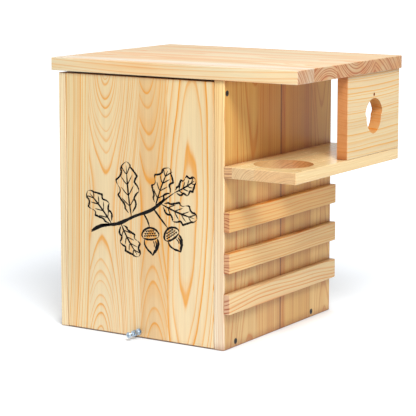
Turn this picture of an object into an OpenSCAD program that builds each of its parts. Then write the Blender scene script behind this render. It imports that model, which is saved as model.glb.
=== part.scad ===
// Squirrel house of pine boards with a covered feeder at its side.
// The door faces -Y, the feeder is at +X, and the house stands on the plane Z = 0.
// The origin lies on the ground, under the middle of the whole object's box. Millimetres.

/* [House] */
// Width across the front, without the feeder
house_width = 300; // [260:1:360]
// Depth from the front face to the back face
house_depth = 320; // [300:1:380]
// Height from the ground to the top of the roof
house_height = 419; // [400:1:470]
// Thickness of the right wall, the door, the floor and the back
board_thickness = 17; // [15:0.5:19]
// Thickness of the left wall
left_wall_thickness = 13; // [12:0.5:17]
// Size of the bevel that eases the edges of every board
edge_ease = 0.8; // [0.2:0.1:1.2]

/* [Roof] */
// Thickness of the roof board
roof_thickness = 20; // [16:0.5:24]
// How far the roof stands out past the left wall
roof_left_overhang = 11; // [2:0.5:30]
// How far the roof stands out past the feeder tray
roof_right_overhang = 4; // [0:0.5:20]
// How far the roof stands out past the front
roof_front_overhang = 4; // [0:0.5:6]

/* [Door] */
// Gap between the roof and the top edges of the door and the left wall
top_gap = 3; // [3:0.1:5]
// Clearance between the door and the left wall
door_left_clearance = 0.5; // [0.3:0.1:2]
// Clearance between the door and the right wall
door_right_clearance = 0.5; // [0.3:0.1:3]
// Clearance between the door and the ground
door_bottom_clearance = 1; // [1:0.5:3]
// Clearance between the shut door and the front edge of the floor
door_back_clearance = 0.3; // [0.2:0.1:0.5]
// Distance from the top edge of the door down to its pivot
pivot_drop = 16.5; // [16:0.5:24]

/* [Feeder] */
// Reach of the tray past the right wall
tray_reach = 120; // [115:1:150]
// Height from the ground to the top of the tray
tray_height = 274; // [260:1:280]
// Thickness of the tray
tray_thickness = 17; // [15:0.5:20]
// Radius of the cup hole in the tray
cup_hole_radius = 44; // [30:1:46]
// Distance from the front edge of the tray back to the middle of the cup hole
cup_hole_setback = 68; // [62:1:80]
// Thickness of the end panel between the tray and the roof
panel_thickness = 18; // [15:0.5:20]
// Distance from the front edge of the tray back to the end panel
panel_setback = 152; // [135:1:170]

/* [Acorn window] */
// Width of the cap of the acorn
cap_width = 54; // [48:1:60]
// Height of the cap of the acorn
cap_height = 28; // [25:0.5:31]
// Radius of the rounded rim of the cap
cap_rim_radius = 7; // [4:0.5:9]
// Width of the nut where it meets the cap
nut_width = 47; // [40:1:48]
// Height of the nut from its point to the cap
nut_height = 26.5; // [25:0.5:31]
// Radius of the small stem hole above the cap
stem_hole_radius = 2.75; // [1.5:0.25:3.5]
// Distance from the top of the cap up to the middle of the stem hole
stem_hole_rise = 5.5; // [5:0.5:9]

/* [Slats] */
// Height of each ladder slat
slat_height = 30; // [20:1:36]
// Thickness of each ladder slat
slat_thickness = 10; // [9:0.5:16]
// Height from the ground to the lowest slat
slat_start = 55; // [40:1:62]
// Step from one slat up to the next
slat_step = 61; // [50:1:62]

/* [Entrance and hanging holes] */
// Radius of the entrance hole in the left wall
entrance_radius = 37.5; // [25:0.5:45]
// Height from the ground to the middle of the entrance hole
entrance_height = 300; // [200:1:320]
// Distance from the back face forward to the middle of the entrance hole
entrance_setback = 90; // [75:1:140]
// Radius of the two hanging holes in the back
hanging_hole_radius = 3.25; // [2:0.25:5]
// Distance between the two hanging holes
hanging_hole_span = 240; // [120:1:260]
// Height from the ground to the lower hanging hole
hanging_hole_start = 90; // [50:1:110]

/* [Lock screw] */
// Height from the ground to the lock screw
lock_height = 9; // [8.5:0.5:10]
// Radius of the thread of the lock screw
lock_screw_radius = 2.45; // [2:0.05:2.9]
// Length of the lock screw under its head
lock_screw_length = 40; // [39:0.5:41]
// Distance from the front face to the underside of the head
lock_stand_off = 25; // [25:0.5:28]
// Radius of the head
lock_head_radius = 4.5; // [4:0.1:5.5]
// Thickness of the head
lock_head_thickness = 3; // [2:0.5:4]
// Width of the nut across its flats
lock_nut_width = 8; // [7.5:0.1:9]
// Thickness of the nut
lock_nut_thickness = 4; // [3:0.5:5]
// Radius of the washer
lock_washer_radius = 4.75; // [4:0.05:6]
// Thickness of the washer
lock_washer_thickness = 1; // [0.8:0.1:1.5]
// Travel of the lock screw from where it stands until the washer meets the insert
lock_travel = 8.8; // [8:0.1:9.5]
// Radius of the flange of the insert
insert_flange_radius = 4.9; // [4.6:0.1:6]
// Thickness of the flange of the insert
insert_flange_thickness = 1.2; // [0.8:0.1:2]
// Length of the barrel of the insert inside the door
insert_length = 12; // [8:0.5:13]
// Thickness of the wall of the barrel
insert_wall = 1.5; // [1:0.1:1.6]

/* [Screws and dowels] */
// Radius of the wood screws
screw_radius = 1.75; // [1.5:0.05:2.2]
// Radius of the countersunk heads
screw_head_radius = 3.7; // [2.8:0.1:4]
// Depth of the heads from the top to the shank
screw_head_depth = 2; // [1.5:0.1:3]
// Depth of the heads below the face of the wood
screw_sink = 0.6; // [0.2:0.1:1.2]
// Length of the screws that hold the boards together
screw_length = 40; // [36:1:45]
// Length of the pivot screws
pivot_screw_length = 45; // [36:1:55]
// Length of the short screws in the slats
slat_screw_length = 23; // [21:0.5:23]
// Distance from the front face back to the front floor screws
floor_screw_front = 33; // [25:1:60]
// Distance from the back face forward to the rear floor screws
floor_screw_back = 60; // [45:1:90]
// Radius of the dowels
dowel_radius = 4; // [3:0.5:4.5]
// Length of the dowels
dowel_length = 30; // [26:1:36]
// Radial clearance of a screw that turns in its bore
running_clearance = 0.05; // [0.02:0.01:0.1]

/* [Hidden] */
$fn = 64;

// Length that a cutting shape runs out past the face that it cuts
cut_margin = 1;

// The whole object's box, with the lock screw as its foremost point
front_reach = max(lock_stand_off + lock_head_thickness, roof_front_overhang);
overall_width = roof_left_overhang + house_width + tray_reach + roof_right_overhang;
overall_depth = front_reach + house_depth;

// Outer faces of the house and the feeder
left_x = roof_left_overhang - overall_width / 2;
right_x = left_x + house_width;
feeder_x = right_x + tray_reach;
front_y = front_reach - overall_depth / 2;
back_y = front_y + house_depth;
roof_z = house_height - roof_thickness;

// Inner faces and middles of the boards
inner_left_x = left_x + left_wall_thickness;
inner_right_x = right_x - board_thickness;
inner_back_y = back_y - board_thickness;
floor_front_y = front_y + board_thickness + door_back_clearance;
floor_middle_z = board_thickness / 2;
inside_middle_x = (inner_left_x + inner_right_x) / 2;
right_wall_middle_x = right_x - board_thickness / 2;
back_middle_y = back_y - board_thickness / 2;
panel_middle_x = feeder_x - panel_thickness / 2;
panel_front_y = front_y + panel_setback;
panel_middle_y = (panel_front_y + back_y) / 2;
tray_bottom_z = tray_height - tray_thickness;

// Door and its pivot
top_z = roof_z - top_gap;
pivot_y = front_y + board_thickness / 2;
pivot_z = top_z - pivot_drop;
pivot_end_clearance = 0.5;

// Acorn window with its stem hole, centred between the tray and the roof
window_height = nut_height + cap_height + stem_hole_rise + stem_hole_radius;
acorn_z = (tray_height + roof_z - window_height) / 2;

// Cup hole
cup_hole_x = right_x + tray_reach / 2;
cup_hole_y = front_y + cup_hole_setback;

// Lock screw and what is on it, counted forward from the front face
lock_bore_radius = lock_screw_radius + running_clearance;
insert_radius = lock_bore_radius + insert_wall;
lock_play = 0.1;
washer_stand_off = insert_flange_thickness + lock_travel + lock_play;
nut_stand_off = washer_stand_off + lock_washer_thickness + lock_play;
lock_socket_clearance = 0.75;
lock_socket_end = lock_screw_length - lock_stand_off + lock_travel + 2;

// Points and recesses of the screws
screw_point = 5;
screw_point_radius = 0.4;
lock_tip_bevel = 0.8;
lock_head_bevel = 0.9;
cross_recess_width = 1;
cross_recess_depth = 1.2;

// Places of the screws and dowels, as distances from the faces named
screw_edge_distance = 30;
back_screw_edge_distance = 55;
tray_screw_setback = 26;
dowel_bevel = 0.8;
dowel_depth_in_roof = 12;
dowel_depth_in_wall = 8;
dowel_edge_distance = 60;
panel_dowel_edge_distance = 35;

// Evenly spaced values from the first to the last
function spread(first, last, count) = [for (i = [0 : count - 1]) first + (last - first) * i / (count - 1)];

// Rectangle whose corners are cut off by the easing
module eased_rectangle(width, height) {
    polygon([
        [edge_ease, 0], [width - edge_ease, 0],
        [width, edge_ease], [width, height - edge_ease],
        [width - edge_ease, height], [edge_ease, height],
        [0, height - edge_ease], [0, edge_ease]
    ]);
}

// Board between two opposite corners, with all its edges eased
module board(near, far) {
    size = far - near;
    translate(near) intersection() {
        linear_extrude(size.z)
            eased_rectangle(size.x, size.y);
        translate([0, size.y, 0]) rotate([90, 0, 0]) linear_extrude(size.y)
            eased_rectangle(size.x, size.z);
        rotate([90, 0, 90]) linear_extrude(size.x)
            eased_rectangle(size.y, size.z);
    }
}

// Two crossed slots that open at the origin and run down along +Z
module cross_recess(width, reach, depth) {
    for (turn = [0, 90])
        rotate([0, 0, turn]) translate([-width / 2, -reach / 2, -cut_margin])
            cube([width, reach, depth + cut_margin]);
}

// Countersunk screw with its head at the origin and its point along +Z
module wood_screw(length) {
    difference() {
        rotate_extrude() polygon([
            [0, 0], [screw_head_radius, 0], [screw_radius, screw_head_depth],
            [screw_radius, length - screw_point], [screw_point_radius, length], [0, length]
        ]);
        cross_recess(cross_recess_width, screw_head_radius, cross_recess_depth);
    }
}

// Hole that a countersunk screw fills, open above its sunk head
module screw_hole(length) {
    top = -screw_sink - cut_margin;
    rotate_extrude() polygon([
        [0, top], [screw_head_radius, top], [screw_head_radius, 0], [screw_radius, screw_head_depth],
        [screw_radius, length - screw_point], [screw_point_radius, length], [0, length]
    ]);
}

// Dowel with bevelled ends that starts at the origin and runs along +Z
module dowel() {
    rotate_extrude() polygon([
        [0, 0], [dowel_radius - dowel_bevel, 0], [dowel_radius, dowel_bevel],
        [dowel_radius, dowel_length - dowel_bevel], [dowel_radius - dowel_bevel, dowel_length], [0, dowel_length]
    ]);
}

// Hole that a dowel fills
module dowel_hole() {
    cylinder(h = dowel_length, r = dowel_radius);
}

// Places of the pivot screws: one through each side wall into the edge of the door
module at_right_pivot() {
    translate([right_x - screw_sink, pivot_y, pivot_z]) rotate([0, -90, 0]) children();
}

module at_left_pivot() {
    translate([left_x + screw_sink, pivot_y, pivot_z]) rotate([0, 90, 0]) children();
}

// Places of the screws that run through both side walls into the floor
module at_floor_screws() {
    for (y = [front_y + floor_screw_front, back_y - floor_screw_back]) {
        translate([right_x - screw_sink, y, floor_middle_z]) rotate([0, -90, 0]) children();
        translate([left_x + screw_sink, y, floor_middle_z]) rotate([0, 90, 0]) children();
    }
}

// Places of the screws that run through the back into the floor
module at_back_screws() {
    for (x = [inner_left_x + back_screw_edge_distance, inner_right_x - back_screw_edge_distance])
        translate([x, back_y - screw_sink, floor_middle_z]) rotate([90, 0, 0]) children();
}

// Places of the screws that run from inside the house into the edge of the tray
module at_tray_screws() {
    for (y = spread(front_y + tray_screw_setback, inner_back_y - screw_edge_distance, 3))
        translate([inner_right_x + screw_sink, y, tray_bottom_z + tray_thickness / 2])
            rotate([0, 90, 0]) children();
}

// Places of the screws that run up through the tray into the end panel
module at_panel_screws() {
    for (y = [panel_front_y + screw_edge_distance, back_y - screw_edge_distance])
        translate([panel_middle_x, y, tray_bottom_z + screw_sink]) children();
}

// Places of the two screws that run from inside the house into one slat
module at_slat_screws(bottom_z) {
    for (y = [front_y + 2 * screw_edge_distance, inner_back_y - 2 * screw_edge_distance])
        translate([inner_right_x + screw_sink, y, bottom_z + slat_height / 2])
            rotate([0, 90, 0]) children();
}

// Height of the bottom of one slat, counted from the lowest
function slat_z(number) = slat_start + number * slat_step;

// Places of the dowels that hold the roof to the right wall, the back and the end panel
module at_roof_dowels() {
    bottom_z = roof_z + dowel_depth_in_roof - dowel_length;
    for (y = spread(front_y + dowel_edge_distance, inner_back_y - dowel_edge_distance, 3))
        translate([right_wall_middle_x, y, bottom_z]) children();
    for (x = spread(inner_left_x + dowel_edge_distance, inner_right_x - dowel_edge_distance, 3))
        translate([x, back_middle_y, bottom_z]) children();
    for (y = [panel_front_y + panel_dowel_edge_distance, back_y - panel_dowel_edge_distance])
        translate([panel_middle_x, y, bottom_z]) children();
}

// Places of the dowels that hold the back between the side walls
module at_back_dowels() {
    for (z = spread(1.5 * dowel_edge_distance, roof_z - 1.5 * dowel_edge_distance, 3)) {
        translate([inner_left_x - dowel_depth_in_wall, back_middle_y, z]) rotate([0, 90, 0]) children();
        translate([inner_right_x + dowel_depth_in_wall, back_middle_y, z]) rotate([0, -90, 0]) children();
    }
}

// Place of the lock screw: at the front face, with +Z out of the door
module at_lock() {
    translate([inside_middle_x, front_y, lock_height]) rotate([90, 0, 0]) children();
}

// Acorn outline with the point of its nut at the origin and its cap above
module acorn_outline() {
    nut_half = nut_width / 2;
    nut_arc_shift = (pow(nut_height, 2) - pow(nut_half, 2)) / nut_width;
    nut_arc_radius = nut_arc_shift + nut_half;
    intersection() {
        translate([-nut_arc_shift, nut_height]) circle(r = nut_arc_radius);
        translate([nut_arc_shift, nut_height]) circle(r = nut_arc_radius);
        translate([-nut_half, 0]) square([nut_width, nut_height + cap_rim_radius / 2]);
    }

    cap_half = cap_width / 2;
    rim_z = nut_height + cap_rim_radius;
    dome_rise = cap_height - cap_rim_radius;
    dome_radius = (pow(cap_half, 2) + pow(dome_rise, 2)) / (2 * dome_rise);
    for (side = [-1, 1])
        translate([side * (cap_half - cap_rim_radius), rim_z]) circle(r = cap_rim_radius);
    translate([cap_rim_radius - cap_half, nut_height])
        square([cap_width - 2 * cap_rim_radius, 2 * cap_rim_radius]);
    intersection() {
        translate([0, nut_height + cap_height - dome_radius]) circle(r = dome_radius);
        translate([-cap_half, rim_z]) square([cap_width, cap_height]);
    }
}

module roof() {
    color("#e9cb98") difference() {
        board([left_x - roof_left_overhang, front_y - roof_front_overhang, roof_z],
              [feeder_x + roof_right_overhang, back_y, house_height]);
        at_roof_dowels() dowel_hole();
    }
}

module right_wall() {
    color("#e7c790") difference() {
        board([inner_right_x, front_y, 0], [right_x, back_y, roof_z]);
        at_right_pivot() screw_hole(pivot_screw_length);
        at_floor_screws() screw_hole(screw_length);
        at_tray_screws() screw_hole(screw_length);
        for (number = [0 : 2])
            at_slat_screws(slat_z(number)) screw_hole(slat_screw_length);
        at_roof_dowels() dowel_hole();
        at_back_dowels() dowel_hole();
    }
}

module left_wall() {
    color("#e7c790") difference() {
        board([left_x, front_y, 0], [inner_left_x, back_y, top_z]);
        translate([left_x - cut_margin, back_y - entrance_setback, entrance_height]) rotate([0, 90, 0])
            cylinder(h = left_wall_thickness + 2 * cut_margin, r = entrance_radius);
        at_left_pivot() screw_hole(pivot_screw_length);
        at_floor_screws() screw_hole(screw_length);
        at_back_dowels() dowel_hole();
    }
}

module back_board() {
    color("#e5c48c") difference() {
        board([inner_left_x, inner_back_y, 0], [inner_right_x, back_y, roof_z]);
        for (z = [hanging_hole_start, hanging_hole_start + hanging_hole_span])
            translate([inside_middle_x, back_y + cut_margin, z]) rotate([90, 0, 0])
                cylinder(h = board_thickness + 2 * cut_margin, r = hanging_hole_radius);
        at_back_screws() screw_hole(screw_length);
        at_roof_dowels() dowel_hole();
        at_back_dowels() dowel_hole();
    }
}

module floor_board() {
    color("#e5c48c") difference() {
        board([inner_left_x, floor_front_y, 0], [inner_right_x, inner_back_y, board_thickness]);
        at_floor_screws() screw_hole(screw_length);
        at_back_screws() screw_hole(screw_length);
        at_lock() translate([0, 0, -lock_socket_end])
            cylinder(h = lock_socket_end, r = lock_screw_radius + lock_socket_clearance);
    }
}

module front_door() {
    left_edge = inner_left_x + door_left_clearance;
    right_edge = inner_right_x - door_right_clearance;
    bore_radius = screw_radius + running_clearance;
    color("#ebcd9a") difference() {
        board([left_edge, front_y, door_bottom_clearance], [right_edge, front_y + board_thickness, top_z]);
        at_left_pivot() cylinder(h = pivot_screw_length + pivot_end_clearance, r = bore_radius);
        at_right_pivot() cylinder(h = pivot_screw_length + pivot_end_clearance, r = bore_radius);
        at_lock() translate([0, 0, -insert_length])
            cylinder(h = insert_length + cut_margin, r = insert_radius);
        at_lock() translate([0, 0, -board_thickness - cut_margin])
            cylinder(h = board_thickness, r = lock_screw_radius + lock_socket_clearance);
    }
}

module feeder_tray() {
    color("#e8c68e") difference() {
        board([right_x, front_y, tray_bottom_z], [feeder_x, back_y, tray_height]);
        translate([cup_hole_x, cup_hole_y, tray_bottom_z - cut_margin])
            cylinder(h = tray_thickness + 2 * cut_margin, r = cup_hole_radius);
        at_tray_screws() screw_hole(screw_length);
        at_panel_screws() screw_hole(screw_length);
    }
}

module feeder_end_panel() {
    color("#eccf9d") difference() {
        board([feeder_x - panel_thickness, panel_front_y, tray_height], [feeder_x, back_y, roof_z]);
        translate([feeder_x - panel_thickness - cut_margin, panel_middle_y, acorn_z])
            rotate([90, 0, 90]) linear_extrude(panel_thickness + 2 * cut_margin) {
                acorn_outline();
                translate([0, nut_height + cap_height + stem_hole_rise]) circle(r = stem_hole_radius);
            }
        at_panel_screws() screw_hole(screw_length);
        at_roof_dowels() dowel_hole();
    }
}

module slat(number) {
    color("#e6c188") difference() {
        board([right_x, front_y, slat_z(number)],
              [right_x + slat_thickness, back_y, slat_z(number) + slat_height]);
        at_slat_screws(slat_z(number)) screw_hole(slat_screw_length);
    }
}

module slat_bottom() {
    slat(0);
}

module slat_middle() {
    slat(1);
}

module slat_top() {
    slat(2);
}

module pivot_screw_right() {
    color("#2b2a29") at_right_pivot() wood_screw(pivot_screw_length);
}

module pivot_screw_left() {
    color("#2b2a29") at_left_pivot() wood_screw(pivot_screw_length);
}

module floor_screws() {
    color("#2b2a29") at_floor_screws() wood_screw(screw_length);
}

module back_screws() {
    color("#2b2a29") at_back_screws() wood_screw(screw_length);
}

module tray_screws() {
    color("#2b2a29") at_tray_screws() wood_screw(screw_length);
}

module end_panel_screws() {
    color("#2b2a29") at_panel_screws() wood_screw(screw_length);
}

module slat_screws() {
    color("#2b2a29")
        for (number = [0 : 2])
            at_slat_screws(slat_z(number)) wood_screw(slat_screw_length);
}

module roof_dowels() {
    color("#dcb57e") at_roof_dowels() dowel();
}

module back_dowels() {
    color("#dcb57e") at_back_dowels() dowel();
}

module lock_insert() {
    color("#b9bdc2") at_lock() difference() {
        union() {
            cylinder(h = insert_flange_thickness, r = insert_flange_radius);
            translate([0, 0, -insert_length]) cylinder(h = insert_length, r = insert_radius);
        }
        translate([0, 0, -insert_length - cut_margin])
            cylinder(h = insert_length + insert_flange_thickness + 2 * cut_margin, r = lock_bore_radius);
    }
}

module lock_screw() {
    tip_z = lock_stand_off - lock_screw_length;
    head_z = lock_stand_off + lock_head_thickness;
    color("#c6cacf") at_lock() difference() {
        rotate_extrude() polygon([
            [0, tip_z], [lock_screw_radius - lock_tip_bevel, tip_z],
            [lock_screw_radius, tip_z + lock_tip_bevel], [lock_screw_radius, lock_stand_off],
            [lock_head_radius, lock_stand_off], [lock_head_radius, head_z - lock_head_bevel],
            [lock_head_radius - lock_head_bevel, head_z], [0, head_z]
        ]);
        translate([0, 0, head_z]) rotate([180, 0, 0])
            cross_recess(cross_recess_width, lock_head_radius, cross_recess_depth);
    }
}

module lock_nut() {
    color("#b4b8bd") at_lock() translate([0, 0, nut_stand_off]) difference() {
        cylinder(h = lock_nut_thickness, r = lock_nut_width / 2 / cos(30), $fn = 6);
        translate([0, 0, -cut_margin])
            cylinder(h = lock_nut_thickness + 2 * cut_margin, r = lock_screw_radius);
    }
}

module lock_washer() {
    color("#c1c5ca") at_lock() translate([0, 0, washer_stand_off]) difference() {
        cylinder(h = lock_washer_thickness, r = lock_washer_radius);
        translate([0, 0, -cut_margin])
            cylinder(h = lock_washer_thickness + 2 * cut_margin, r = lock_bore_radius);
    }
}

roof();
right_wall();
left_wall();
back_board();
floor_board();
front_door();
feeder_tray();
feeder_end_panel();
slat_top();
slat_middle();
slat_bottom();
pivot_screw_right();
pivot_screw_left();
floor_screws();
back_screws();
tray_screws();
end_panel_screws();
slat_screws();
roof_dowels();
back_dowels();
lock_insert();
lock_screw();
lock_nut();
lock_washer();
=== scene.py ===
"""Looks of the squirrel house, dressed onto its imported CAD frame.

Each board is edge-glued pine with one solid pattern of growth rings running through it, so its faces, edges
and end grain agree. The screws get their threads, and the door gets a printed sprig of oak.
"""

import logging
import math
import random
from dataclasses import dataclass, field, replace
from enum import Enum

import bmesh
import bpy
from bpy.types import Material, Mesh, Node, NodeSocket, NodeTree, Object
from mathutils import Euler, Matrix, Vector


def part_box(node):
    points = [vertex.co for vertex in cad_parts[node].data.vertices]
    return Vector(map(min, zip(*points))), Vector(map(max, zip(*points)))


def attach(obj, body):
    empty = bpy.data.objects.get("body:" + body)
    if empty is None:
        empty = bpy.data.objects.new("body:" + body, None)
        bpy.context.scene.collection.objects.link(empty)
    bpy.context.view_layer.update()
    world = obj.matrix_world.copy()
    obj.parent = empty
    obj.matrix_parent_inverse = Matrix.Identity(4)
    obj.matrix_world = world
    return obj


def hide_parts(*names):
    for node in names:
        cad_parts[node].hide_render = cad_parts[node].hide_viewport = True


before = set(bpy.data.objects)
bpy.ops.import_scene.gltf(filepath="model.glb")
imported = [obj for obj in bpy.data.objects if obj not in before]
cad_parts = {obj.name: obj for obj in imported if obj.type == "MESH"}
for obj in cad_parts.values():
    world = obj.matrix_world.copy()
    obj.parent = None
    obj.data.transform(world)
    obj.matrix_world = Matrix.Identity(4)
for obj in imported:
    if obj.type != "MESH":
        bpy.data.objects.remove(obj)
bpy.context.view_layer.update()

LOG = logging.getLogger("squirrel_house")
MM = 0.001

# Blender's names of the nodes that come up most
MATH = "ShaderNodeMath"
VECTOR_MATH = "ShaderNodeVectorMath"
MAP_RANGE = "ShaderNodeMapRange"
NOISE = "ShaderNodeTexNoise"
COLOUR_RAMP = "ShaderNodeValToRGB"
COLOUR_MIX = "ShaderNodeMix"

Pair = tuple[float, float]
Triple = tuple[float, float, float]
Colour = tuple[float, float, float, float]
Stops = list[tuple[float, Colour]]
Face = tuple[int, ...]
Stroke = tuple[list[Pair], float]
Seat = tuple[Vector, Vector]


class Axis(Enum):
    """Directions of the CAD frame that a board's grain can follow."""

    X = 0
    Y = 1
    Z = 2


class Blend(Enum):
    """How a layer of colour lies on the one below: as paint or as stain."""

    COVER = "MIX"
    TINT = "MULTIPLY"


class Ramp(Enum):
    """How a ramp goes from one stop to the next."""

    STEP = "CONSTANT"
    STRAIGHT = "LINEAR"
    SOFT = "EASE"


class Cut(Enum):
    """What is left of a solid that another one cuts: what lies outside it, or what lies inside."""

    OUTSIDE = "DIFFERENCE"
    INSIDE = "INTERSECT"


def linear_colour(hex_text: str) -> Colour:
    """Turn an sRGB hex colour into linear red, green, blue and full opacity.

    Args:
        hex_text: The colour, such as "#efd6a6".

    Returns:
        The linear colour that a node socket takes.
    """
    channels = [int(hex_text[i : i + 2], 16) / 255 for i in (1, 3, 5)]
    linear = [c / 12.92 if c <= 0.04045 else ((c + 0.055) / 1.055) ** 2.4 for c in channels]
    return linear[0], linear[1], linear[2], 1.0


def grey(level: float) -> Colour:
    """Give the linear grey of one level, for a ramp that holds a plain number."""
    return level, level, level, 1.0


def add_node(tree: NodeTree, kind: str, inputs: dict | None = None, **settings: object) -> Node:
    """Add a node with its settings, values and links.

    Args:
        tree: The node tree that gets the node.
        kind: Blender's type name of the node.
        inputs: By the input's name or number, a value, a socket to link from, or a node whose first output
            is linked.
        settings: Attributes of the node.

    Returns:
        The new node.
    """
    node = tree.nodes.new(kind)
    for name, value in settings.items():
        setattr(node, name, value)
    for name, value in (inputs or {}).items():
        if isinstance(value, Node):
            value = value.outputs[0]
        if isinstance(value, NodeSocket):
            tree.links.new(value, node.inputs[name])
        else:
            node.inputs[name].default_value = value
    return node


def fill_ramp(node: Node, stops: Stops, shape: Ramp) -> None:
    """Give a colour ramp its stops.

    Args:
        node: The colour ramp's node.
        stops: Position from 0 to 1 and colour of each stop, in order.
        shape: How the ramp goes from stop to stop.
    """
    ramp = node.color_ramp
    ramp.interpolation = shape.value
    while len(ramp.elements) > 1:
        ramp.elements.remove(ramp.elements[-1])
    ramp.elements[0].position, ramp.elements[0].color = stops[0]
    for position, colour in stops[1:]:
        ramp.elements.new(position).color = colour


def new_material(name: str) -> tuple[Material, NodeTree, Node]:
    """Make an empty material with one principled shader.

    Args:
        name: The material's name.

    Returns:
        The material, its tree and its shader.
    """
    material = bpy.data.materials.new(name)
    material.use_nodes = True
    tree = material.node_tree
    tree.nodes.clear()
    shader = add_node(tree, "ShaderNodeBsdfPrincipled")
    add_node(tree, "ShaderNodeOutputMaterial", {"Surface": shader})
    return material, tree, shader


@dataclass(frozen=True)
class Stave:
    """One glued strip of a board, sawn from a tree of its own. Lengths are in millimetres.

    It starts at start across the board and runs on to the next stave. The tree's centre, its pith, lies at
    pith_across and pith_through, leans by tilt for each millimetre along the board, and has bowed by bow at
    the board's ends. A year's growth is ring wide, and slow bends of the trunk move it by up to waviness.
    Contrast is how dark the late wood shows, and joint how plain the glue line at the strip's start is.
    """

    start: float
    pith_across: float
    pith_through: float
    ring: float
    tone: str
    bow: float = 0.0
    tilt: float = 0.0
    contrast: float = 0.8
    waviness: float = 5.0
    joint: float = 0.0


@dataclass(frozen=True)
class GluedPine:
    """Scots pine, edge-glued from staves, planed and left bare. Lengths are in millimetres.

    The eye sees cream early wood, thin orange late-wood lines that arch where the saw ran flat to the rings,
    a step in tone at each glue line, pinkish end grain with the same rings as arcs, and a silky low gloss.
    """

    name: str
    along: Axis
    across: Axis
    through: Axis
    staves: tuple[Stave, ...]

    # Long grain, and a painted light whose tone shifts from the board's lower end to its upper end
    line_tone: str = "#dea35a"
    painted_light_low_tone: str = "#ffffff"
    painted_light_high_tone: str = "#ffffff"
    edge_tone: str = "#ffffff"

    # End grain, seen on faces that look along the board
    end_tone: str = "#d9a983"
    end_line_tone: str = "#a86b48"
    end_contrast: float = 1.5
    end_share: float = 0.9
    facing: Pair = (0.55, 0.85)

    # Glue lines, wider where the joint is plainer
    glue_tone: str = "#8a4a1c"
    glue_half: float = 0.9
    glue_growth: float = 1.8

    # The wall of a hole that is sawn through the board, by its middle across and along the board; its tone is
    # a painted shade
    bore_at: Pair = (0.0, 0.0)
    bore_reach: float = 0.0
    bore_painted_shade_tone: str = "#ffffff"
    bore_calm: float = 0.0

    # Fibres are 0.03 mm wide. They are drawn as bundles of over a millimetre, so that they show
    fibre_width: float = 1.4
    fibre_length: float = 70.0
    fibre_noise: Pair = (0.25, 0.75)
    fibre_shade: Pair = (0.93, 1.05)

    # Slow patches where the wood holds more resin
    patch_width: float = 70.0
    patch_length: float = 220.0
    patch_noise: Pair = (0.3, 0.7)
    patch_shade: Pair = (0.95, 1.03)

    # Richer bands of some years' growth that run the length of the board
    stripe_tone: str = "#d99a50"
    stripe_depth: float = 0.12
    stripe_width: float = 9.0
    stripe_length: float = 600.0
    stripe_noise: Pair = (0.42, 0.68)

    # Painted shade: ambient occlusion darkens the wood where boards meet and in corners
    painted_shade_tone: str = "#a86a3a"
    painted_shade_depth: float = 0.75
    painted_shade_reach: float = 14.0
    painted_shade_open: Pair = (0.35, 0.95)

    # Growth: one year's shade from spring to winter, slow bends of the trunk, good and poor years
    year_shades: tuple[Pair, ...] = ((0.0, 0.16), (0.06, 0.0), (0.5, 0.05), (0.72, 0.3), (0.84, 0.88),
                                     (0.92, 1.0), (1.0, 0.2))
    poorest_year: float = 0.4
    year_drift: float = 2.4
    year_drift_pace: float = 0.45
    bend_width: float = 60.0
    bend_length: float = 300.0

    # Planed surface: late wood is denser, so it stands a little higher and smoother
    roughness: float = 0.42
    late_smoothness: float = 0.08
    fibre_roughness: float = 0.12
    late_rise: float = 0.5
    relief: float = 0.35
    relief_depth: float = 0.12
    refraction: float = 1.5

    # A ramp holds values from 0 to 1, so each stave's numbers are shared out over these spans
    pith_span: float = 2000.0
    bow_span: float = 400.0
    tilt_span: float = 1.0
    ring_span: float = 20.0

    def build(self, low: Vector, high: Vector) -> Material:
        """Build the board's material.

        Args:
            low: The board's lowest corner in metres.
            high: The board's highest corner in metres.

        Returns:
            The material.
        """
        material, tree, shader = new_material(self.name)
        nodes = PineNodes(self, tree, low, high)
        late = nodes.late_wood(nodes.ring_count())
        fibre = nodes.streaks(self.fibre_width, self.fibre_length, detail=3.0, roughness=0.6)
        roughness, relief = nodes.surface(late, fibre)
        for source, socket in ((nodes.colour(late, fibre), "Base Color"), (roughness, "Roughness"),
                               (relief, "Normal")):
            tree.links.new(source.outputs[0], shader.inputs[socket])
        shader.inputs["IOR"].default_value = self.refraction
        return material


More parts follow.
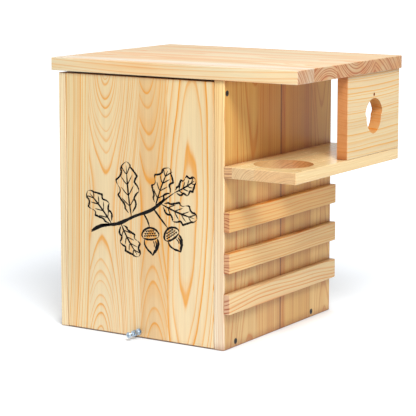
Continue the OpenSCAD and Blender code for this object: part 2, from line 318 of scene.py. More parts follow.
@dataclass
class PineNodes:
    """The shader nodes of one board's pine, laid out in the board's own box.

    Place is the shaded point in millimetres, parts its three parts, and facing the way that its face looks.
    Pith, rings, tone and joint are ramps that hold each stave's numbers, and ring_parts splits rings.
    """

    pine: GluedPine
    tree: NodeTree
    low: Vector
    high: Vector
    place: Node = field(init=False)
    parts: Node = field(init=False)
    facing: Node = field(init=False)
    pith: Node = field(init=False)
    rings: Node = field(init=False)
    tone: Node = field(init=False)
    joint: Node = field(init=False)
    ring_parts: Node = field(init=False)

    def __post_init__(self) -> None:
        """Lay the nodes that several others read."""
        coords = add_node(self.tree, "ShaderNodeTexCoord")
        self.place = add_node(self.tree, VECTOR_MATH, {0: coords.outputs["Object"], "Scale": 1 / MM},
                              operation="SCALE")
        self.parts = add_node(self.tree, "ShaderNodeSeparateXYZ", {0: self.place})
        self.facing = add_node(self.tree, "ShaderNodeSeparateXYZ", {0: coords.outputs["Normal"]})
        self.pith, self.rings, self.tone, self.joint = self.stave_ramps()
        self.ring_parts = add_node(self.tree, "ShaderNodeSeparateColor", {0: self.rings})

    def reach_of(self, axis: Axis) -> Pair:
        """Give where the board begins and ends in one direction, in millimetres."""
        return self.low[axis.value] / MM, self.high[axis.value] / MM

    def in_frame(self, across: float, through: float, along: float) -> Triple:
        """Put three values of the board's own directions in the frame's order."""
        values = {self.pine.across: across, self.pine.through: through, self.pine.along: along}
        return values[Axis.X], values[Axis.Y], values[Axis.Z]

    def stave_ramps(self) -> tuple[Node, Node, Node, Node]:
        """Look up the values of the stave that a point lies in.

        Returns:
            Ramps with the pith, the rings, the tone and the glue line.
        """
        pine = self.pine
        first, last = self.reach_of(pine.across)
        share = add_node(self.tree, MAP_RANGE, {"Value": self.parts.outputs[pine.across.value],
                                                "From Min": first, "From Max": last})
        piths, rings, tones = [], [], []
        joints = [(0.0, grey(0.0))]
        for stave in pine.staves:
            position = max(0.0, (stave.start - first) / (last - first))
            piths.append((position, (
                stave.pith_across / pine.pith_span + 0.5, stave.pith_through / pine.pith_span + 0.5,
                stave.bow / pine.bow_span + 0.5, stave.tilt / pine.tilt_span + 0.5)))
            # Any number from 0 to 1 that differs from stave to stave will do as a seed
            seed = stave.start * 0.37 % 1.0
            rings.append((position, (
                stave.ring / pine.ring_span, stave.waviness / pine.ring_span, seed, stave.contrast)))
            tones.append((position, linear_colour(stave.tone)))
            if position > 0:
                half = (pine.glue_half + pine.glue_growth * stave.joint) / (last - first)
                joints += [(position - half, grey(0.0)), (position, grey(stave.joint)),
                           (position + half, grey(0.0))]
        looked_up = []
        for stops, shape in ((piths, Ramp.STEP), (rings, Ramp.STEP), (tones, Ramp.STEP),
                             (joints, Ramp.STRAIGHT)):
            ramp = add_node(self.tree, COLOUR_RAMP, {0: share})
            fill_ramp(ramp, stops, shape)
            looked_up.append(ramp)
        return looked_up[0], looked_up[1], looked_up[2], looked_up[3]

    def streaks(self, width: float, length: float, detail: float, roughness: float = 0.5,
                shift: NodeSocket | Triple = (0.0, 0.0, 0.0)) -> Node:
        """Draw noise that is stretched along the board.

        Args:
            width: Width of a streak in millimetres.
            length: Length of a streak in millimetres.
            detail: Finer and finer layers in the noise.
            roughness: How strong the finer layers are.
            shift: How far the noise is moved, in streaks.

        Returns:
            The noise.
        """
        scale = self.in_frame(1 / width, 1 / width, 1 / length)
        stretched = add_node(self.tree, VECTOR_MATH, {0: self.place, 1: scale, 2: shift},
                             operation="MULTIPLY_ADD")
        return add_node(self.tree, NOISE,
                        {"Vector": stretched, "Scale": 1.0, "Detail": detail, "Roughness": roughness})

    def bent_place(self) -> Node:
        """Move a point as the slow bends of the trunk move the wood, differently in each stave.

        Returns:
            A node with the moved point's three parts.
        """
        staves_apart = 310.0
        shift = add_node(self.tree, VECTOR_MATH, {0: self.pith, "Scale": staves_apart}, operation="SCALE")
        bend = self.streaks(self.pine.bend_width, self.pine.bend_length, detail=2.5, roughness=0.45,
                            shift=shift.outputs[0])
        centred = add_node(self.tree, VECTOR_MATH, {0: bend.outputs["Color"], 1: (0.5, 0.5, 0.5)},
                           operation="SUBTRACT")
        # Centred, the noise reaches 0.5 to each side, so it is doubled to reach the stave's waviness
        waviness = add_node(self.tree, MATH, {0: self.ring_parts.outputs[1], 1: self.pine.ring_span * 2},
                            operation="MULTIPLY")
        bent = add_node(self.tree, VECTOR_MATH, {0: centred, "Scale": waviness.outputs[0]}, operation="SCALE")
        moved = add_node(self.tree, VECTOR_MATH, {0: self.place, 1: bent}, operation="ADD")
        return add_node(self.tree, "ShaderNodeSeparateXYZ", {0: moved})

    def ring_count(self) -> Node:
        """Count the growth rings from the pith out to a point.

        Returns:
            The count, which rises by one from each spring to the next.
        """
        pine, tree = self.pine, self.tree
        parts = self.bent_place()
        pith_parts = add_node(tree, "ShaderNodeSeparateColor", {0: self.pith})
        decoded = []
        for share, span in (
            (pith_parts.outputs[0], pine.pith_span), (pith_parts.outputs[1], pine.pith_span),
            (pith_parts.outputs[2], pine.bow_span), (self.pith.outputs["Alpha"], pine.tilt_span),
        ):
            decoded.append(add_node(tree, MATH, {0: share, 1: span, 2: -span / 2}, operation="MULTIPLY_ADD"))
        pith_across, pith_through, bow, tilt = decoded

        # The tilt moves the pith evenly along the board, and the bow moves it more toward both ends
        start, end = self.reach_of(pine.along)
        run = add_node(tree, MATH, {0: parts.outputs[pine.along.value], 1: (start + end) / 2},
                       operation="SUBTRACT")
        run_share = add_node(tree, MATH, {0: run, 1: (end - start) / 2}, operation="DIVIDE")
        run_square = add_node(tree, MATH, {0: run_share, 1: run_share}, operation="MULTIPLY")
        outward = []
        for axis, lean, travel, pith in ((pine.across, tilt, run, pith_across),
                                         (pine.through, bow, run_square, pith_through)):
            centre = add_node(tree, MATH, {0: lean, 1: travel, 2: pith}, operation="MULTIPLY_ADD")
            outward.append(add_node(tree, MATH, {0: parts.outputs[axis.value], 1: centre},
                                    operation="SUBTRACT"))
        reach = add_node(tree, "ShaderNodeCombineXYZ", {0: outward[0], 1: outward[1]})
        radius = add_node(tree, VECTOR_MATH, {0: reach}, operation="LENGTH")

        # Good and poor years: the rings crowd and spread a little every few years
        ring_width = add_node(tree, MATH, {0: self.ring_parts.outputs[0], 1: pine.ring_span},
                              operation="MULTIPLY")
        even = add_node(tree, MATH, {0: radius.outputs["Value"], 1: ring_width}, operation="DIVIDE")
        drift_place = add_node(tree, MATH, {0: even, 1: pine.year_drift_pace, 2: self.ring_parts.outputs[2]},
                               operation="MULTIPLY_ADD")
        drift = add_node(tree, NOISE, {"W": drift_place, "Scale": 1.0, "Detail": 1.0}, noise_dimensions="1D")
        return add_node(tree, MATH, {0: drift.outputs["Fac"], 1: pine.year_drift, 2: even},
                        operation="MULTIPLY_ADD")

    def late_wood(self, ring_count: Node) -> Node:
        """Turn the ring count into how much late wood a point shows.

        Args:
            ring_count: Rings from the pith to the point.

        Returns:
            A node that gives 0 in early wood and rises to the stave's contrast in late wood.
        """
        tree = self.tree
        phase = add_node(tree, MATH, {0: ring_count}, operation="FRACT")
        year = add_node(tree, MATH, {0: ring_count}, operation="FLOOR")
        # The wood darkens slowly through the summer and turns pale at once with the next spring
        profile = add_node(tree, COLOUR_RAMP, {0: phase})
        fill_ramp(profile, [(position, grey(shade)) for position, shade in self.pine.year_shades], Ramp.SOFT)
        years_apart = 57.0
        year_seed = add_node(tree, MATH, {0: self.ring_parts.outputs[2], 1: years_apart, 2: year},
                             operation="MULTIPLY_ADD")
        chance = add_node(tree, "ShaderNodeTexWhiteNoise", {"W": year_seed}, noise_dimensions="1D")
        year_strength = add_node(tree, MAP_RANGE, {"Value": chance, "To Min": self.pine.poorest_year})
        strength = add_node(tree, MATH, {0: year_strength, 1: self.rings.outputs["Alpha"]},
                            operation="MULTIPLY")
        return add_node(tree, MATH, {0: profile, 1: strength}, operation="MULTIPLY")

    def facing_mask(self, axis: Axis, share: float) -> Node:
        """Find the faces that look along one direction.

        Args:
            axis: The direction.
            share: What the mask gives on those faces.

        Returns:
            A node that gives the share there and 0 elsewhere.
        """
        start, end = self.pine.facing
        turned = add_node(self.tree, MATH, {0: self.facing.outputs[axis.value]}, operation="ABSOLUTE")
        return add_node(self.tree, MAP_RANGE,
                        {"Value": turned, "From Min": start, "From Max": end, "To Max": share})

    def bore_mask(self) -> Node:
        """Find the wall of the hole that is sawn through the board.

        Returns:
            A node that gives 1 on the hole's wall and 0 elsewhere.
        """
        pine, tree = self.pine, self.tree
        flat = add_node(tree, VECTOR_MATH, {0: self.place, 1: self.in_frame(1.0, 0.0, 1.0)},
                        operation="MULTIPLY")
        away = add_node(tree, VECTOR_MATH, {0: flat, 1: self.in_frame(pine.bore_at[0], 0.0, pine.bore_at[1])},
                        operation="DISTANCE")
        near = add_node(tree, MATH, {0: away.outputs["Value"], 1: pine.bore_reach}, operation="LESS_THAN")
        turned = add_node(tree, MATH, {0: self.facing.outputs[pine.through.value]}, operation="ABSOLUTE")
        wall = add_node(tree, MATH, {0: turned, 1: 0.5}, operation="LESS_THAN")
        return add_node(tree, MATH, {0: near, 1: wall}, operation="MULTIPLY")

    def colour(self, late: Node, fibre: Node) -> Node:
        """Lay the board's colours over each other.

        Args:
            late: Amount of late wood.
            fibre: The fibres' noise.

        Returns:
            The node with the board's colour.
        """
        pine, tree = self.pine, self.tree
        # Painted shade: ambient occlusion of the nearby boards darkens the colour in corners and joins
        corner = add_node(tree, "ShaderNodeAmbientOcclusion", {"Distance": pine.painted_shade_reach * MM}, samples=6)
        ranged = []
        for source, (start, end), (least, most) in (
            (fibre, pine.fibre_noise, pine.fibre_shade),
            (self.streaks(pine.patch_width, pine.patch_length, detail=1.0), pine.patch_noise,
             pine.patch_shade),
            (self.streaks(pine.stripe_width, pine.stripe_length, detail=2.0), pine.stripe_noise,
             (0.0, pine.stripe_depth)),
            (corner.outputs["AO"], pine.painted_shade_open, (pine.painted_shade_depth, 0.0)),
            (self.parts.outputs[pine.along.value], self.reach_of(pine.along), (0.0, 1.0)),
        ):
            ranged.append(add_node(tree, MAP_RANGE, {"Value": source, "From Min": start, "From Max": end,
                                                     "To Min": least, "To Max": most}))
        fibre_shade, patch_shade, stripes, corners, run = ranged

        end_late = add_node(tree, MATH, {0: late, 1: pine.end_contrast}, operation="MULTIPLY")
        end_grain = self.tone.outputs["Color"]
        for share, colour, blend in ((1.0, linear_colour(pine.end_tone), Blend.TINT),
                                     (end_late, linear_colour(pine.end_line_tone), Blend.COVER)):
            end_grain = add_node(tree, COLOUR_MIX, {0: share, 6: end_grain, 7: colour}, data_type="RGBA",
                                 blend_type=blend.value).outputs[2]

        # Inside a hole less of the end grain shows: its rings are calmer, and the wall is painted paler, a
        # painted light
        bore = self.bore_mask()
        calm = add_node(tree, MATH, {0: bore, 1: -pine.bore_calm, 2: 1.0}, operation="MULTIPLY_ADD")
        end_seen = add_node(tree, MATH, {0: self.facing_mask(pine.along, pine.end_share), 1: calm},
                            operation="MULTIPLY")
        # Painted light: the tone shifts from the board's lower end to its upper end, standing in for cool
        # light bounced up from the floor and warm light bounced between the boards under the roof
        painted_light_along = add_node(tree, COLOUR_MIX,
                        {0: run, 6: linear_colour(pine.painted_light_low_tone), 7: linear_colour(pine.painted_light_high_tone)},
                        data_type="RGBA")
        shown = self.tone.outputs["Color"]
        for share, colour, blend in (
            (late, linear_colour(pine.line_tone), Blend.COVER),
            (end_seen, end_grain, Blend.COVER),
            (self.facing_mask(pine.across, 1.0), linear_colour(pine.edge_tone), Blend.TINT),
            # Painted shade on the wall of the sawn hole
            (bore, linear_colour(pine.bore_painted_shade_tone), Blend.TINT),
            (self.joint, linear_colour(pine.glue_tone), Blend.COVER),
            (1.0, painted_light_along.outputs[2], Blend.TINT),
            (stripes, linear_colour(pine.stripe_tone), Blend.TINT),
            # Painted shade in corners and where boards meet
            (corners, linear_colour(pine.painted_shade_tone), Blend.TINT),
        ):
            shown = add_node(tree, COLOUR_MIX, {0: share, 6: shown, 7: colour}, data_type="RGBA",
                             blend_type=blend.value).outputs[2]
        shade = add_node(tree, MATH, {0: fibre_shade, 1: patch_shade}, operation="MULTIPLY")
        return add_node(tree, VECTOR_MATH, {0: shown, "Scale": shade.outputs[0]}, operation="SCALE")

    def surface(self, late: Node, fibre: Node) -> tuple[Node, Node]:
        """Give the board its gloss and its relief.

        Args:
            late: Amount of late wood.
            fibre: The fibres' noise.

        Returns:
            Nodes with the roughness and with the relief.
        """
        pine, tree = self.pine, self.tree
        smooth = add_node(tree, MATH, {0: late, 1: -pine.late_smoothness, 2: pine.roughness},
                          operation="MULTIPLY_ADD")
        rough = add_node(tree, MATH, {0: fibre, 1: pine.fibre_roughness, 2: smooth}, operation="MULTIPLY_ADD")
        raised = add_node(tree, MATH, {0: late, 1: pine.late_rise, 2: fibre}, operation="MULTIPLY_ADD")
        sunk = add_node(tree, MATH, {0: raised, 1: self.joint}, operation="SUBTRACT")
        relief = add_node(tree, "ShaderNodeBump", {"Strength": pine.relief, "Height": sunk,
                                                   "Distance": pine.relief_depth * MM})
        return rough, relief


@dataclass(frozen=True)
class CloudedCoat:
    """A thin coat whose tone, gloss and height follow one soft noise. Lengths are in millimetres.

    A cloud of the noise is as large as cloud says, in the frame's three directions.
    """

    name: str
    tones: tuple[tuple[float, str], ...]
    cloud: Triple
    roughness: Pair
    relief: float
    relief_depth: float = 0.05
    detail: float = 3.0
    metallic: float = 0.0
    reflection: float = 0.5

    def build(self) -> Material:
        """Build the coat's material.

        Returns:
            The material.
        """
        material, tree, shader = new_material(self.name)
        coords = add_node(tree, "ShaderNodeTexCoord")
        scale = [1 / (size * MM) for size in self.cloud]
        place = add_node(tree, VECTOR_MATH, {0: coords.outputs["Object"], 1: scale}, operation="MULTIPLY")
        cloud = add_node(tree, NOISE, {"Vector": place, "Scale": 1.0, "Detail": self.detail})
        tones = add_node(tree, COLOUR_RAMP, {0: cloud})
        fill_ramp(tones, [(position, linear_colour(tone)) for position, tone in self.tones], Ramp.STRAIGHT)
        rough = add_node(tree, MAP_RANGE,
                         {"Value": cloud, "To Min": self.roughness[0], "To Max": self.roughness[1]})
        relief = add_node(tree, "ShaderNodeBump", {"Strength": self.relief, "Height": cloud,
                                                   "Distance": self.relief_depth * MM})
        for source, socket in ((tones, "Base Color"), (rough, "Roughness"), (relief, "Normal")):
            tree.links.new(source.outputs[0], shader.inputs[socket])
        shader.inputs["Metallic"].default_value = self.metallic
        shader.inputs["Specular IOR Level"].default_value = self.reflection
        return material


@dataclass(frozen=True)
class BlackenedSteel(CloudedCoat):
    """Hardened screws with a phosphate coat: near black, dull, slightly sooty in the recess.

    The coat's crystals are a hundredth of a millimetre wide. They are drawn at half a millimetre, so that
    they show.
    """

    name: str = "blackened_steel"
    tones: tuple[tuple[float, str], ...] = ((0.35, "#181615"), (0.75, "#34302d"))
    cloud: Triple = (0.5, 0.5, 0.5)
    roughness: Pair = (0.42, 0.62)
    relief: float = 0.2
    metallic: float = 0.3


@dataclass(frozen=True)
class ZincPlate(CloudedCoat):
    """Steel, barrel-plated with bright zinc: pale bluish metal with soft, slightly cloudy reflections."""

    name: str = "bright_zinc_plate"
    tones: tuple[tuple[float, str], ...] = ((0.3, "#9db0c2"), (0.7, "#bccbd8"))
    cloud: Triple = (2.5, 2.5, 2.5)
    roughness: Pair = (0.22, 0.36)
    relief: float = 0.12
    metallic: float = 1.0


@dataclass(frozen=True)
class ScreenInk(CloudedCoat):
    """Black ink, screen-printed onto bare wood: matt, thinner where the wood's fibres stand proud."""

    name: str = "screen_printed_ink"
    tones: tuple[tuple[float, str], ...] = ((0.5, "#070606"), (0.85, "#1c1510"))
    cloud: Triple = (1.1, 1.1, 14.0)
    roughness: Pair = (0.5, 0.75)
    relief: float = 0.2
    detail: float = 2.0
    reflection: float = 0.15


def dress_node(name: str, material: Material) -> None:
    """Give a CAD node its material.

    Args:
        name: The node's name.
        material: The finish that it gets.
    """
    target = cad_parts[name]
    if not target.material_slots:
        target.data.materials.append(material)
    for slot in target.material_slots:
        slot.material = material
    LOG.info("dressed %s in %s", name, material.name)


def dress_board(name: str, finish: GluedPine) -> None:
    """Build a board's own pine and put it on its node."""
    dress_node(name, finish.build(*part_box(name)))


def stand_for(piece: Object, node: str, body: str) -> None:
    """Let a finished piece stand for a CAD node.

    Args:
        piece: The piece.
        node: The node that it replaces.
        body: The body that it rides on.
    """
    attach(piece, body)
    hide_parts(node)
    LOG.info("built %s", piece.name)


@dataclass
class Roof:
    """The flat roof board, four pale staves with their grain across the house."""

    node: str = "roof"
    pine: GluedPine = GluedPine(
        "pine_of_the_roof", Axis.X, Axis.Y, Axis.Z,
        (
            Stave(-150, -215, 340, 4.4, "#fff3dc", bow=6, waviness=4, contrast=0.8),
            Stave(-104, -62, 350, 4.2, "#fee8c0", bow=9, waviness=4, contrast=1.0),
            Stave(-35, 28, 470, 4.8, "#fee8c0", bow=-9, waviness=5, contrast=1.1),
            Stave(85, 20, 285, 6.8, "#fde5ba", bow=8, waviness=4, contrast=0.6),
        ),
        line_tone="#f6b258", end_tone="#d0baa4", end_line_tone="#a85604", end_contrast=4.6,
        edge_tone="#f2ead2", stripe_tone="#fcca8a", stripe_depth=0.6, stripe_width=26,
        stripe_length=260)

    def dress(self) -> None:
        """Dress the roof."""
        dress_board(self.node, self.pine)


@dataclass
class Walls:
    """The two side walls, the back and the floor, with upright grain in all but the floor."""

    right: GluedPine = GluedPine(
        "pine_of_the_right_wall", Axis.Z, Axis.Y, Axis.X,
        (
            # A thin pale first stave: a painted highlight along the wall's lit front edge
            Stave(-146, -150, 20, 5.0, "#ffe8c8", bow=4, waviness=4, contrast=0.6),
            Stave(-143.5, -68, 142, 4.6, "#dfb87c", bow=-11, tilt=0.04, waviness=6, contrast=0.75),
            Stave(-52, -120, 60, 3.6, "#dcaf70", bow=8, waviness=5, contrast=0.9),
            Stave(17, 40, 62, 3.4, "#d39858", bow=5, waviness=3, contrast=1.1, joint=1.0),
            Stave(29, 190, 62, 3.6, "#e1b26b", bow=6, waviness=5, contrast=0.9),
            Stave(110, 150, 150, 4.4, "#edc07c", bow=-8, tilt=-0.05, waviness=5, contrast=0.7, joint=0.3),
        ),
        # Painted light: cooler at the wall's foot, warmer and richer toward the roof
        line_tone="#c66c0c", glue_tone="#6a2e10", painted_light_low_tone="#f2f9ff", painted_light_high_tone="#fff6c6",
        stripe_depth=0.35)
    left: GluedPine = GluedPine(
        "pine_of_the_left_wall", Axis.Z, Axis.Y, Axis.X,
        (
            Stave(-146, -190, -250, 3.6, "#fbe6bb", bow=4, waviness=3),
            Stave(-62, -20, -225, 4.2, "#efd6a8", bow=24, waviness=6),
            Stave(30, 60, -160, 3.8, "#e8c894", bow=-10, waviness=5, joint=0.3),
            Stave(112, 150, -240, 4.4, "#edd2a2", bow=15, waviness=5, joint=0.2),
        ),
        # The left wall's painted shade in its corners is lighter and tighter
        painted_shade_depth=0.35, painted_shade_reach=4)
    back: GluedPine = GluedPine(
        "pine_of_the_back", Axis.Z, Axis.X, Axis.Y,
        (
            Stave(-194, -160, 210, 4.0, "#ecd0a0", bow=22, waviness=6),
            Stave(-118, -80, 240, 3.6, "#e7c693", bow=-14, waviness=5, joint=0.2),
            Stave(-36, -50, 120, 4.4, "#efd5a6", bow=16, waviness=5, joint=0.3),
            Stave(30, 60, 230, 3.8, "#eacb9a", bow=20, waviness=6, joint=0.2),
        ))
    floor: GluedPine = GluedPine(
        "pine_of_the_floor", Axis.X, Axis.Y, Axis.Z,
        (
            Stave(-129, -90, 60, 4.0, "#ebcd9c", bow=14, waviness=5),
            Stave(-40, 10, -40, 3.6, "#e6c492", bow=-12, waviness=5, joint=0.3),
            Stave(60, 110, 70, 4.2, "#edd2a2", bow=12, waviness=6, joint=0.2),
        ))

    def dress(self) -> None:
        """Dress the four boards that make the box."""
        for node, pine in (("right_wall", self.right), ("left_wall", self.left), ("back_board", self.back),
                           ("floor_board", self.floor)):
            dress_board(node, pine)


@dataclass
class Door:
    """The front door, four staves with upright grain and arches in the two middle ones."""

    node: str = "front_door"
    pine: GluedPine = GluedPine(
        "pine_of_the_door", Axis.Z, Axis.X, Axis.Y,
        (
            Stave(-193, -250, -110, 5.2, "#f2ddb0", bow=5, tilt=0.04, waviness=7, contrast=1.15),
            Stave(-150, -125, -106, 4.0, "#f0dab0", bow=-34, tilt=0.03, waviness=6, contrast=0.95),
            Stave(-56, -36, -106, 4.6, "#ebca98", bow=-22, tilt=-0.04, waviness=5, contrast=1.2),
            Stave(-6, 30, -112, 5.6, "#f1dcb2", bow=9, tilt=0.06, waviness=7, contrast=1.25),
        ),
        # Painted light: the door's upper end is a touch warmer
        # Painted shade in the door's corners, lighter and tighter than on the other boards
        line_tone="#eda234", painted_light_high_tone="#fcf7ea", stripe_depth=0.1, painted_shade_depth=0.5, painted_shade_reach=4)

    def dress(self) -> None:
        """Dress the door."""
        dress_board(self.node, self.pine)


@dataclass
class Feeder:
    """The tray with its cup hole and the end panel with its acorn window. Their grain runs front to back."""

    tray: GluedPine = GluedPine(
        "pine_of_the_tray", Axis.Y, Axis.X, Axis.Z,
        (
            Stave(93.5, 92, 345, 4.0, "#ffe2a8", contrast=1.0, waviness=2),
            Stave(107, 152, 238, 3.4, "#fff0bc", bow=6, waviness=4, contrast=0.38),
            Stave(144, 206, 200, 3.8, "#ffe8b0", bow=8, waviness=4, contrast=0.38),
        ),
        line_tone="#e8a850", end_tone="#e2c6b6", end_line_tone="#94563a", end_contrast=1.6,
        # The cup hole's wall gets a painted shade
        bore_at=(153.5, -78), bore_reach=46, bore_painted_shade_tone="#e6cbb4",
        edge_tone="#f6ece0", roughness=0.2)
    panel: GluedPine = GluedPine(
        "pine_of_the_end_panel", Axis.Y, Axis.Z, Axis.X,
        (
            Stave(274, 150, 188, 6.4, "#ecd3a2", bow=7, waviness=8, contrast=1.15),
            Stave(338, 120, 176, 5.4, "#ecd3a4", bow=9, waviness=8, contrast=1.15),
        ),
        line_tone="#eaa636", end_tone="#d99c6a", end_line_tone="#b06f3e", end_contrast=0.6,
        # The acorn window's wall gets a painted shade, and less end grain, so that it is painted paler
        bore_at=(333, 90), bore_reach=42, bore_painted_shade_tone="#f0cba4", bore_calm=0.8)

    def dress(self) -> None:
        """Dress the tray and the panel."""
        for node, pine in (("feeder_tray", self.tray), ("feeder_end_panel", self.panel)):
            dress_board(node, pine)


@dataclass
class Ladder:
    """The three slats that a squirrel climbs, each sawn from one piece."""

    slats: tuple[tuple[str, Stave], ...] = (
        ("slat_top", Stave(0, 84, 70, 5.4, "#e5b974", bow=6, waviness=11, contrast=1.6)),
        ("slat_middle", Stave(0, 22, 76, 6.0, "#eac688", bow=8, waviness=11, contrast=1.6)),
        ("slat_bottom", Stave(0, 150, 62, 6.6, "#e9cc98", bow=14, waviness=11, contrast=1.1)),
    )

    def dress(self) -> None:
        """Dress each slat in its own pine."""
        for node, stave in self.slats:
            dress_board(node, GluedPine(
                f"pine_of_{node}", Axis.Y, Axis.Z, Axis.X, (stave,),
                line_tone="#da8218", end_tone="#f2dcec", end_line_tone="#9c4218", end_contrast=1.7))


@dataclass
class Dowels:
    """Turned beech dowels between the boards."""

    ways: tuple[tuple[str, Axis, Axis, Axis], ...] = (
        ("roof_dowels", Axis.Z, Axis.X, Axis.Y), ("back_dowels", Axis.X, Axis.Z, Axis.Y))
    stave: Stave = Stave(-300, -300, 0, 2.0, "#dcb57e", waviness=2, contrast=0.3)

    def dress(self) -> None:
        """Dress the dowels, whose grain runs along them."""
        for node, along, across, through in self.ways:
            dress_board(node, GluedPine(f"beech_of_{node}", along, across, through, (self.stave,),
                                        line_tone="#c99a62", roughness=0.5))


def smooth_path(points: list[Pair], steps: int = 8) -> list[Pair]:
    """Run a smooth line through points, as a brush would.

    Args:
        points: Points that the line passes through.
        steps: Short pieces from one point to the next.

    Returns:
        The points of the smooth line.
    """
    padded = [points[0], *points, points[-1]]
    smooth = []
    for a, b, c, d in zip(padded, padded[1:], padded[2:], padded[3:]):
        for step in range(steps):
            t = step / steps
            smooth.append(tuple(
                0.5 * (2 * b[i] + (c[i] - a[i]) * t + (2 * a[i] - 5 * b[i] + 4 * c[i] - d[i]) * t**2
                       + (3 * b[i] - a[i] - 3 * c[i] + d[i]) * t**3)
                for i in (0, 1)))
    smooth.append(points[-1])
    return smooth


def tube_faces(first: int, rows: int, corners: int) -> list[Face]:
    """Number the faces of a closed tube, whose corners lie ring after ring.

    Args:
        first: Number of the tube's first corner.
        rows: Rings along the tube.
        corners: Corners of each ring.

    Returns:
        The corners' numbers of each face, those of the two ends last.
    """
    faces = []
    for row in range(rows - 1):
        start = first + row * corners
        for corner in range(corners):
            after = (corner + 1) % corners
            faces.append((start + corner, start + after, start + corners + after, start + corners + corner))
    for start in (first, first + (rows - 1) * corners):
        faces.append(tuple(start + corner for corner in range(corners)))
    return faces


def mesh_object(name: str, points: list[Triple], faces: list[Face]) -> Object:
    """Make an object from points and faces, with its faces turned outward.

    Args:
        name: The object's name.
        points: The corners in metres.
        faces: The corners' numbers of each face.

    Returns:
        The object, linked to the scene.
    """
    mesh = bpy.data.meshes.new(name)
    mesh.from_pydata(points, [], faces)
    work = bmesh.new()
    work.from_mesh(mesh)
    bmesh.ops.remove_doubles(work, verts=work.verts, dist=1e-7)
    bmesh.ops.recalc_face_normals(work, faces=work.faces)
    work.to_mesh(mesh)
    work.free()
    return place_object(name, mesh)


def place_object(name: str, data: bpy.types.ID) -> Object:
    """Put a mesh, a lamp or a camera into the scene as an object at the origin.

    Args:
        name: The object's name.
        data: What the object shows.

    Returns:
        The object.
    """
    made = bpy.data.objects.new(name, data)
    bpy.context.scene.collection.objects.link(made)
    return made


def turned_form(name: str, profile: list[Pair], sides: int = 32) -> Object:
    """Turn a closed profile about the Z axis.

    Args:
        name: The object's name.
        profile: Radius and height of each corner in metres.
        sides: Corners round the axis.

    Returns:
        The turned object.
    """
    angles = [math.tau * side / sides for side in range(sides)]
    points = [(radius * math.cos(angle), radius * math.sin(angle), height)
              for radius, height in profile for angle in angles]
    return mesh_object(name, points, tube_faces(0, len(profile), sides))


def plain_mesh(made: Object) -> Mesh:
    """Take the mesh that an object's modifiers result in."""
    return bpy.data.meshes.new_from_object(made.evaluated_get(bpy.context.evaluated_depsgraph_get()))


def cut_with(target: Object, cutter: Object, left: Cut) -> None:
    """Cut one solid with another and drop the cutter.

    Args:
        target: The solid that is cut.
        cutter: The solid that cuts it.
        left: What is left of the target.
    """
    cut = target.modifiers.new("cut", "BOOLEAN")
    cut.solver = "EXACT"
    cut.operation = left.value
    cut.object = cutter
    bpy.context.view_layer.update()
    result = plain_mesh(target)
    target.modifiers.remove(cut)
    target.data = result
    bpy.data.objects.remove(cutter)


@dataclass(frozen=True)
class ThreadSizes:
    """Sizes of one kind of screw, in millimetres. Heights run from under the head toward the point.

    The shaft is plain at first, then threaded, and its point narrows to point_share of its thickness. The
    crossed recess has arms of recess_reach and narrows toward its bottom.
    """

    head_profile: tuple[Pair, ...]
    recess_reach: float
    recess_depth: float
    length: float
    core_radius: float
    thread_height: float
    pitch: float
    plain: float
    point: float
    point_share: float
    recess_width: float = 1.0
    recess_narrowing: float = 0.62


